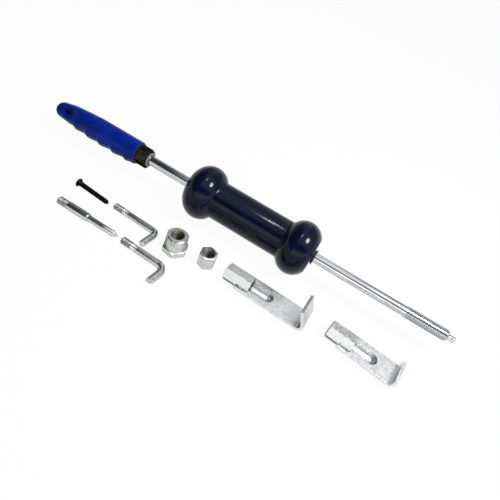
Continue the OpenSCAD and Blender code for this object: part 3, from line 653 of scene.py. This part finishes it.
def claw(kind, nut_l, overhang, above_axis, x, y, yaw):
    """Dresses a claw, the strap's upper face lying a little above the nut's axis or level with it.

    overhang is the length of nut that stands out behind the strap, and x, y and yaw place the nut's rear end.
    """
    finish(kind + "_strap", zinc_plate)
    strap = nodes[kind + "_strap"].data
    strap.materials.append(pressed)
    axis_at = (x, y, FLOOR_MM + NUT_FLATS / 2)
    # The groove's upward faces are those clearly below the strap's upper face, and they take its painted
    # shade
    for face in strap.polygons:
        if face.normal.z > 0.1 and face.center.z < (axis_at[2] + above_axis - 0.15) * MM:
            face.material_index = 1
    tapped(kind + "_nut_with_thread", kind + "_nut", nut_l, axis_at, yaw, upright=False, body=kind)
    # The beads lie where the strap's upper face meets the nut's sloping flats
    slope = math.radians(30)
    half_w = NUT_FLATS / math.cos(slope) / 2 - above_axis * math.tan(slope)
    for side, sign in (("near", -1), ("far", 1)):
        outline = []
        for s, _ in even(overhang + 0.7, nut_l - 1.0, 0.25, BEAD_R):
            closing = min(1, (s - overhang - 0.4) / 0.9, (nut_l - 0.6 - s) / 0.9) ** 0.5
            swelling = BEAD_WAVE * math.sin(2 * math.pi * s / BEAD_GAP)
            swelling += BEAD_WAVE / 2 * math.sin(s * 2.9 + sign)
            outline.append((s, max(BEAD_R * closing + swelling, 0.3)))
        bead = turned(kind + "_bead_" + side, outline, 20)
        put(bead, axis_at, yaw, Matrix.Translation((0, sign * half_w * MM, above_axis * MM)))
        own_piece(bead, weld, kind, kind + "_welds")


claw("tall_claw", 30.2, overhang=15.4, above_axis=0, x=-179.6, y=-61.8, yaw=-2.0)
claw("short_claw", 28.8, overhang=14.5, above_axis=0.3, x=-60.8, y=-55.1, yaw=-6.4)

# Stage: a sheet of white paper under the object, which shows white to the camera and in reflections.
# A twentieth of what they see is the paper's lit surface, which holds the object's soft shadow.
FLOOR_Z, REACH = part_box("weight_casting")[0].z, 8.0
paper, tree = new_material("white paper")
path = add(tree, "ShaderNodeLightPath").outputs
mirrored = add(tree, "ShaderNodeMath", [path["Is Camera Ray"], path["Is Glossy Ray"]], operation="ADD")
seen = add(tree, "ShaderNodeMath", [mirrored, path["Is Transmission Ray"]], operation="ADD", use_clamp=True)
share = add(tree, "ShaderNodeMath", [seen, 0.95], operation="MULTIPLY")
sheet = add(tree, "ShaderNodeBsdfDiffuse", {"Color": linear("#CCCCCC")})
glow = add(tree, "ShaderNodeEmission", {"Color": linear("#FFFFFF"), "Strength": 1.0})
add(tree, "ShaderNodeOutputMaterial", [add(tree, "ShaderNodeMixShader", [share, sheet, glow])])
floor_mesh = bpy.data.meshes.new("sweep")
floor_mesh.from_pydata([(-REACH, -REACH, FLOOR_Z), (REACH, -REACH, FLOOR_Z), (REACH, REACH, FLOOR_Z),
                        (-REACH, REACH, FLOOR_Z)], [], [(0, 1, 2, 3)])
floor_mesh.materials.append(paper)
floor = bpy.data.objects.new("sweep", floor_mesh)
bpy.context.scene.collection.objects.link(floor)

# Room: what the bright metal mirrors, as the lines in the rod and the pin show it.
# A pale back wall, a long softbox on the ceiling and a pale front wall to the right, dark between them.
world = bpy.data.worlds.new("studio")
bpy.context.scene.world = world
world.use_nodes = True
tree = world.node_tree
tree.nodes.clear()
way = add(tree, "ShaderNodeTexCoord").outputs["Generated"]
parts = add(tree, "ShaderNodeSeparateXYZ", [way]).outputs
swing = add(tree, "ShaderNodeMath", [parts["Z"], parts["Y"]], operation="ARCTAN2")


def band(low, high, soft, *factors):
    """Light from between two angles over the object, 0 at the back and 180 in front, times its factors."""
    opens = add(tree, "ShaderNodeMapRange", {"Value": swing, "From Min": math.radians(low - soft),
                                             "From Max": math.radians(low + soft)},
                interpolation_type="SMOOTHSTEP")
    closes = add(tree, "ShaderNodeMapRange", {"Value": swing, "From Min": math.radians(high + soft),
                                              "From Max": math.radians(high - soft)},
                 interpolation_type="SMOOTHSTEP")
    light = opens
    for factor in (closes, *factors):
        light = add(tree, "ShaderNodeMath", [light, factor], operation="MULTIPLY")
    return light


across = add(tree, "ShaderNodeMapRange", {"Value": parts["X"], "From Min": -0.45, "From Max": 0.45})
wall = add(tree, "ShaderNodeValToRGB", {"Fac": across},
           [(0.08, "#8C8C8C"), (0.17, "#D0D0D0"), (0.31, "#B8B8B8"), (0.4, "#FFFFFF"), (0.55, "#FFFFFF"),
            (0.67, "#A4A4A4")])
rightward = add(tree, "ShaderNodeMapRange", {"Value": parts["X"], "From Min": -0.36, "From Max": -0.29},
                interpolation_type="SMOOTHSTEP")
level = band(10, 58, 6, wall)
for part in (band(62, 124, 8, rightward, 1.05), band(152, 177, 5, rightward, 1.9), 0.05):
    level = add(tree, "ShaderNodeMath", [level, part], operation="ADD")
# A white cloth hangs all round, whole up to eleven degrees over the paper and gone above seventeen
cloth = add(tree, "ShaderNodeMapRange", {"Value": parts["Z"], "From Min": 0.3, "From Max": 0.2},
            interpolation_type="SMOOTHSTEP")
level = add(tree, "ShaderNodeMath", [level, cloth], operation="MAXIMUM")
room = add(tree, "ShaderNodeBackground", {"Color": linear("#F6F8FA"), "Strength": level})
add(tree, "ShaderNodeOutputWorld", {"Surface": room})

# Lamps: two oval softboxes, placed as the spots on the weight's bulbs and the streak on its waist show.
# Their sizes and distances are in metres.


def softbox(name, length, width, power, direction, distance=0.9, aim=(-0.19, -0.03, 0.0)):
    """An oval lamp in a direction from its aim point, its longer side along X."""
    data = bpy.data.lights.new(name, "AREA")
    data.shape = "ELLIPSE"
    data.size, data.size_y = length, width
    data.energy = power
    lamp = bpy.data.objects.new(name, data)
    towards = Vector(direction).normalized()
    lamp.location = Vector(aim) + towards * distance
    lamp.rotation_mode = "QUATERNION"
    lamp.rotation_quaternion = towards.to_track_quat("Z", "Y")
    bpy.context.scene.collection.objects.link(lamp)


softbox("key softbox", 0.29, 0.29, 9.6, (0.55, 0.0, 0.83))
softbox("overhead strip", 0.2, 0.05, 0.9, (-0.1, 0.02, 1.0))

# Camera: placed by fitting the rod, the grip and the floor's vanishing directions in the photo.
# It stands in front of the tool's middle and looks down on it.
camera_data = bpy.data.cameras.new("camera")
camera_data.lens, camera_data.sensor_width = 29.77, 36
camera_data.clip_start, camera_data.clip_end = 0.01, 50
camera = bpy.data.objects.new("camera", camera_data)
stand = Vector((-111.8, -342.6, 294.7)) * MM
turn = Euler([math.radians(angle) for angle in (43.6248, -16.7575, 27.7805)])
camera.matrix_world = Matrix.LocRotScale(stand, turn, None)
bpy.context.scene.collection.objects.link(camera)
bpy.context.scene.camera = camera
bpy.context.scene.view_settings.view_transform = "Standard"
